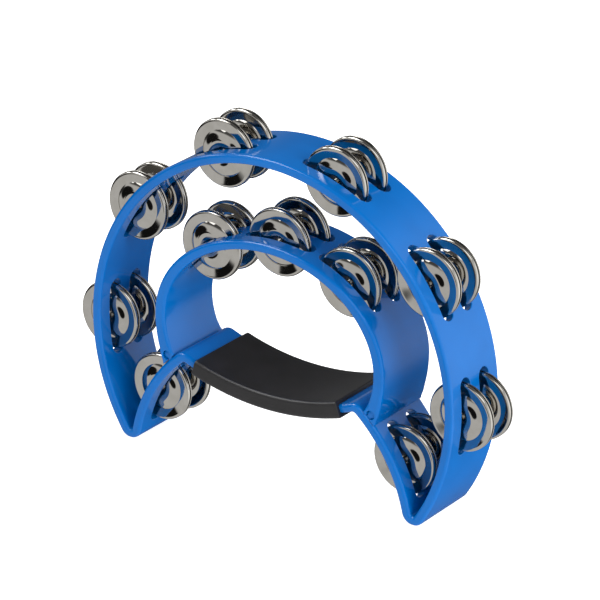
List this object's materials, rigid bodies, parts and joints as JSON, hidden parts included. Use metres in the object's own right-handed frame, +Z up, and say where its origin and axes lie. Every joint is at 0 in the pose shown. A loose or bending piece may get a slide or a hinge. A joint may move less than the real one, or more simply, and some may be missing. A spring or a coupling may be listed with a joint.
{
  "type": "half-moon tambourine",
  "caption": "Half-moon tambourine: a moulded two-row band on two feet, with a smaller arch inside, a curved grip below it and cupped steel jingles in pairs on pins.",
  "frame": {"origin": "on the floor under the middle of the frame, at the bottom centre of the bounding box", "axes": "+X across the instrument, +Y from the front rim to the back rim, +Z up from the feet to the crown"},
  "size_m": [0.303, 0.0552, 0.2201],
  "materials": {
    "frame_plastic": "glossy moulded ABS, blue",
    "arch_plastic": "glossy moulded ABS, blue",
    "grip_rubber": "matt black moulded rubber",
    "jingle_nickel": "bright nickel-plated steel sheet",
    "pin_steel": "drawn steel wire"
  },
  "bodies": {
    "frame": {"frame": "frame_plastic", "inner_arch": "arch_plastic", "grip": "grip_rubber", "pin_rim_1": "pin_steel", "pin_rim_2": "pin_steel", "pin_rim_3": "pin_steel", "pin_rim_4": "pin_steel", "pin_rim_5": "pin_steel", "pin_rim_6": "pin_steel", "pin_leg_left": "pin_steel", "pin_leg_right": "pin_steel", "pin_arch_1": "pin_steel", "pin_arch_2": "pin_steel", "pin_arch_3": "pin_steel"},
    "jingle_rim_1_front_fore": {"jingle_rim_1_front_fore": "jingle_nickel"},
    "jingle_rim_1_front_aft": {"jingle_rim_1_front_aft": "jingle_nickel"},
    "jingle_rim_1_rear_fore": {"jingle_rim_1_rear_fore": "jingle_nickel"},
    "jingle_rim_1_rear_aft": {"jingle_rim_1_rear_aft": "jingle_nickel"},
    "jingle_rim_2_front_fore": {"jingle_rim_2_front_fore": "jingle_nickel"},
    "jingle_rim_2_front_aft": {"jingle_rim_2_front_aft": "jingle_nickel"},
    "jingle_rim_2_rear_fore": {"jingle_rim_2_rear_fore": "jingle_nickel"},
    "jingle_rim_2_rear_aft": {"jingle_rim_2_rear_aft": "jingle_nickel"},
    "jingle_rim_3_front_fore": {"jingle_rim_3_front_fore": "jingle_nickel"},
    "jingle_rim_3_front_aft": {"jingle_rim_3_front_aft": "jingle_nickel"},
    "jingle_rim_3_rear_fore": {"jingle_rim_3_rear_fore": "jingle_nickel"},
    "jingle_rim_3_rear_aft": {"jingle_rim_3_rear_aft": "jingle_nickel"},
    "jingle_rim_4_front_fore": {"jingle_rim_4_front_fore": "jingle_nickel"},
    "jingle_rim_4_front_aft": {"jingle_rim_4_front_aft": "jingle_nickel"},
    "jingle_rim_4_rear_fore": {"jingle_rim_4_rear_fore": "jingle_nickel"},
    "jingle_rim_4_rear_aft": {"jingle_rim_4_rear_aft": "jingle_nickel"},
    "jingle_rim_5_front_fore": {"jingle_rim_5_front_fore": "jingle_nickel"},
    "jingle_rim_5_front_aft": {"jingle_rim_5_front_aft": "jingle_nickel"},
    "jingle_rim_5_rear_fore": {"jingle_rim_5_rear_fore": "jingle_nickel"},
    "jingle_rim_5_rear_aft": {"jingle_rim_5_rear_aft": "jingle_nickel"},
    "jingle_rim_6_front_fore": {"jingle_rim_6_front_fore": "jingle_nickel"},
    "jingle_rim_6_front_aft": {"jingle_rim_6_front_aft": "jingle_nickel"},
    "jingle_rim_6_rear_fore": {"jingle_rim_6_rear_fore": "jingle_nickel"},
    "jingle_rim_6_rear_aft": {"jingle_rim_6_rear_aft": "jingle_nickel"},
    "jingle_leg_left_front_fore": {"jingle_leg_left_front_fore": "jingle_nickel"},
    "jingle_leg_left_front_aft": {"jingle_leg_left_front_aft": "jingle_nickel"},
    "jingle_leg_left_rear_fore": {"jingle_leg_left_rear_fore": "jingle_nickel"},
    "jingle_leg_left_rear_aft": {"jingle_leg_left_rear_aft": "jingle_nickel"},
    "jingle_leg_right_front_fore": {"jingle_leg_right_front_fore": "jingle_nickel"},
    "jingle_leg_right_front_aft": {"jingle_leg_right_front_aft": "jingle_nickel"},
    "jingle_leg_right_rear_fore": {"jingle_leg_right_rear_fore": "jingle_nickel"},
    "jingle_leg_right_rear_aft": {"jingle_leg_right_rear_aft": "jingle_nickel"},
    "jingle_arch_1_front_fore": {"jingle_arch_1_front_fore": "jingle_nickel"},
    "jingle_arch_1_front_aft": {"jingle_arch_1_front_aft": "jingle_nickel"},
    "jingle_arch_1_rear_fore": {"jingle_arch_1_rear_fore": "jingle_nickel"},
    "jingle_arch_1_rear_aft": {"jingle_arch_1_rear_aft": "jingle_nickel"},
    "jingle_arch_2_front_fore": {"jingle_arch_2_front_fore": "jingle_nickel"},
    "jingle_arch_2_front_aft": {"jingle_arch_2_front_aft": "jingle_nickel"},
    "jingle_arch_2_rear_fore": {"jingle_arch_2_rear_fore": "jingle_nickel"},
    "jingle_arch_2_rear_aft": {"jingle_arch_2_rear_aft": "jingle_nickel"},
    "jingle_arch_3_front_fore": {"jingle_arch_3_front_fore": "jingle_nickel"},
    "jingle_arch_3_front_aft": {"jingle_arch_3_front_aft": "jingle_nickel"},
    "jingle_arch_3_rear_fore": {"jingle_arch_3_rear_fore": "jingle_nickel"},
    "jingle_arch_3_rear_aft": {"jingle_arch_3_rear_aft": "jingle_nickel"}
  },
  "joints": [
    {"name": "slide_rim_1_front_fore", "type": "slide", "parent": "frame", "child": "jingle_rim_1_front_fore", "axis": [0, 1, 0], "range_m": [-0.001, 0.0005]},
    {"name": "slide_rim_1_front_aft", "type": "slide", "parent": "frame", "child": "jingle_rim_1_front_aft", "axis": [0, 1, 0], "range_m": [-0.0005, 0.001]},
    {"name": "slide_rim_1_rear_fore", "type": "slide", "parent": "frame", "child": "jingle_rim_1_rear_fore", "axis": [0, 1, 0], "range_m": [-0.001, 0.0005]},
    {"name": "slide_rim_1_rear_aft", "type": "slide", "parent": "frame", "child": "jingle_rim_1_rear_aft", "axis": [0, 1, 0], "range_m": [-0.0005, 0.001]},
    {"name": "slide_rim_2_front_fore", "type": "slide", "parent": "frame", "child": "jingle_rim_2_front_fore", "axis": [0, 1, 0], "range_m": [-0.001, 0.0005]},
    {"name": "slide_rim_2_front_aft", "type": "slide", "parent": "frame", "child": "jingle_rim_2_front_aft", "axis": [0, 1, 0], "range_m": [-0.0005, 0.001]},
    {"name": "slide_rim_2_rear_fore", "type": "slide", "parent": "frame", "child": "jingle_rim_2_rear_fore", "axis": [0, 1, 0], "range_m": [-0.001, 0.0005]},
    {"name": "slide_rim_2_rear_aft", "type": "slide", "parent": "frame", "child": "jingle_rim_2_rear_aft", "axis": [0, 1, 0], "range_m": [-0.0005, 0.001]},
    {"name": "slide_rim_3_front_fore", "type": "slide", "parent": "frame", "child": "jingle_rim_3_front_fore", "axis": [0, 1, 0], "range_m": [-0.001, 0.0005]},
    {"name": "slide_rim_3_front_aft", "type": "slide", "parent": "frame", "child": "jingle_rim_3_front_aft", "axis": [0, 1, 0], "range_m": [-0.0005, 0.001]},
    {"name": "slide_rim_3_rear_fore", "type": "slide", "parent": "frame", "child": "jingle_rim_3_rear_fore", "axis": [0, 1, 0], "range_m": [-0.001, 0.0005]},
    {"name": "slide_rim_3_rear_aft", "type": "slide", "parent": "frame", "child": "jingle_rim_3_rear_aft", "axis": [0, 1, 0], "range_m": [-0.0005, 0.001]},
    {"name": "slide_rim_4_front_fore", "type": "slide", "parent": "frame", "child": "jingle_rim_4_front_fore", "axis": [0, 1, 0], "range_m": [-0.001, 0.0005]},
    {"name": "slide_rim_4_front_aft", "type": "slide", "parent": "frame", "child": "jingle_rim_4_front_aft", "axis": [0, 1, 0], "range_m": [-0.0005, 0.001]},
    {"name": "slide_rim_4_rear_fore", "type": "slide", "parent": "frame", "child": "jingle_rim_4_rear_fore", "axis": [0, 1, 0], "range_m": [-0.001, 0.0005]},
    {"name": "slide_rim_4_rear_aft", "type": "slide", "parent": "frame", "child": "jingle_rim_4_rear_aft", "axis": [0, 1, 0], "range_m": [-0.0005, 0.001]},
    {"name": "slide_rim_5_front_fore", "type": "slide", "parent": "frame", "child": "jingle_rim_5_front_fore", "axis": [0, 1, 0], "range_m": [-0.001, 0.0005]},
    {"name": "slide_rim_5_front_aft", "type": "slide", "parent": "frame", "child": "jingle_rim_5_front_aft", "axis": [0, 1, 0], "range_m": [-0.0005, 0.001]},
    {"name": "slide_rim_5_rear_fore", "type": "slide", "parent": "frame", "child": "jingle_rim_5_rear_fore", "axis": [0, 1, 0], "range_m": [-0.001, 0.0005]},
    {"name": "slide_rim_5_rear_aft", "type": "slide", "parent": "frame", "child": "jingle_rim_5_rear_aft", "axis": [0, 1, 0], "range_m": [-0.0005, 0.001]},
    {"name": "slide_rim_6_front_fore", "type": "slide", "parent": "frame", "child": "jingle_rim_6_front_fore", "axis": [0, 1, 0], "range_m": [-0.001, 0.0005]},
    {"name": "slide_rim_6_front_aft", "type": "slide", "parent": "frame", "child": "jingle_rim_6_front_aft", "axis": [0, 1, 0], "range_m": [-0.0005, 0.001]},
    {"name": "slide_rim_6_rear_fore", "type": "slide", "parent": "frame", "child": "jingle_rim_6_rear_fore", "axis": [0, 1, 0], "range_m": [-0.001, 0.0005]},
    {"name": "slide_rim_6_rear_aft", "type": "slide", "parent": "frame", "child": "jingle_rim_6_rear_aft", "axis": [0, 1, 0], "range_m": [-0.0005, 0.001]},
    {"name": "slide_leg_left_front_fore", "type": "slide", "parent": "frame", "child": "jingle_leg_left_front_fore", "axis": [0, 1, 0], "range_m": [-0.001, 0.0005]},
    {"name": "slide_leg_left_front_aft", "type": "slide", "parent": "frame", "child": "jingle_leg_left_front_aft", "axis": [0, 1, 0], "range_m": [-0.0005, 0.001]},
    {"name": "slide_leg_left_rear_fore", "type": "slide", "parent": "frame", "child": "jingle_leg_left_rear_fore", "axis": [0, 1, 0], "range_m": [-0.001, 0.0005]},
    {"name": "slide_leg_left_rear_aft", "type": "slide", "parent": "frame", "child": "jingle_leg_left_rear_aft", "axis": [0, 1, 0], "range_m": [-0.0005, 0.001]},
    {"name": "slide_leg_right_front_fore", "type": "slide", "parent": "frame", "child": "jingle_leg_right_front_fore", "axis": [0, 1, 0], "range_m": [-0.001, 0.0005]},
    {"name": "slide_leg_right_front_aft", "type": "slide", "parent": "frame", "child": "jingle_leg_right_front_aft", "axis": [0, 1, 0], "range_m": [-0.0005, 0.001]},
    {"name": "slide_leg_right_rear_fore", "type": "slide", "parent": "frame", "child": "jingle_leg_right_rear_fore", "axis": [0, 1, 0], "range_m": [-0.001, 0.0005]},
    {"name": "slide_leg_right_rear_aft", "type": "slide", "parent": "frame", "child": "jingle_leg_right_rear_aft", "axis": [0, 1, 0], "range_m": [-0.0005, 0.001]},
    {"name": "slide_arch_1_front_fore", "type": "slide", "parent": "frame", "child": "jingle_arch_1_front_fore", "axis": [0, 1, 0], "range_m": [-0.001, 0.0005]},
    {"name": "slide_arch_1_front_aft", "type": "slide", "parent": "frame", "child": "jingle_arch_1_front_aft", "axis": [0, 1, 0], "range_m": [-0.0005, 0.001]},
    {"name": "slide_arch_1_rear_fore", "type": "slide", "parent": "frame", "child": "jingle_arch_1_rear_fore", "axis": [0, 1, 0], "range_m": [-0.001, 0.0005]},
    {"name": "slide_arch_1_rear_aft", "type": "slide", "parent": "frame", "child": "jingle_arch_1_rear_aft", "axis": [0, 1, 0], "range_m": [-0.0005, 0.001]},
    {"name": "slide_arch_2_front_fore", "type": "slide", "parent": "frame", "child": "jingle_arch_2_front_fore", "axis": [0, 1, 0], "range_m": [-0.001, 0.0005]},
    {"name": "slide_arch_2_front_aft", "type": "slide", "parent": "frame", "child": "jingle_arch_2_front_aft", "axis": [0, 1, 0], "range_m": [-0.0005, 0.001]},
    {"name": "slide_arch_2_rear_fore", "type": "slide", "parent": "frame", "child": "jingle_arch_2_rear_fore", "axis": [0, 1, 0], "range_m": [-0.001, 0.0005]},
    {"name": "slide_arch_2_rear_aft", "type": "slide", "parent": "frame", "child": "jingle_arch_2_rear_aft", "axis": [0, 1, 0], "range_m": [-0.0005, 0.001]},
    {"name": "slide_arch_3_front_fore", "type": "slide", "parent": "frame", "child": "jingle_arch_3_front_fore", "axis": [0, 1, 0], "range_m": [-0.001, 0.0005]},
    {"name": "slide_arch_3_front_aft", "type": "slide", "parent": "frame", "child": "jingle_arch_3_front_aft", "axis": [0, 1, 0], "range_m": [-0.0005, 0.001]},
    {"name": "slide_arch_3_rear_fore", "type": "slide", "parent": "frame", "child": "jingle_arch_3_rear_fore", "axis": [0, 1, 0], "range_m": [-0.001, 0.0005]},
    {"name": "slide_arch_3_rear_aft", "type": "slide", "parent": "frame", "child": "jingle_arch_3_rear_aft", "axis": [0, 1, 0], "range_m": [-0.0005, 0.001]}
  ]
}
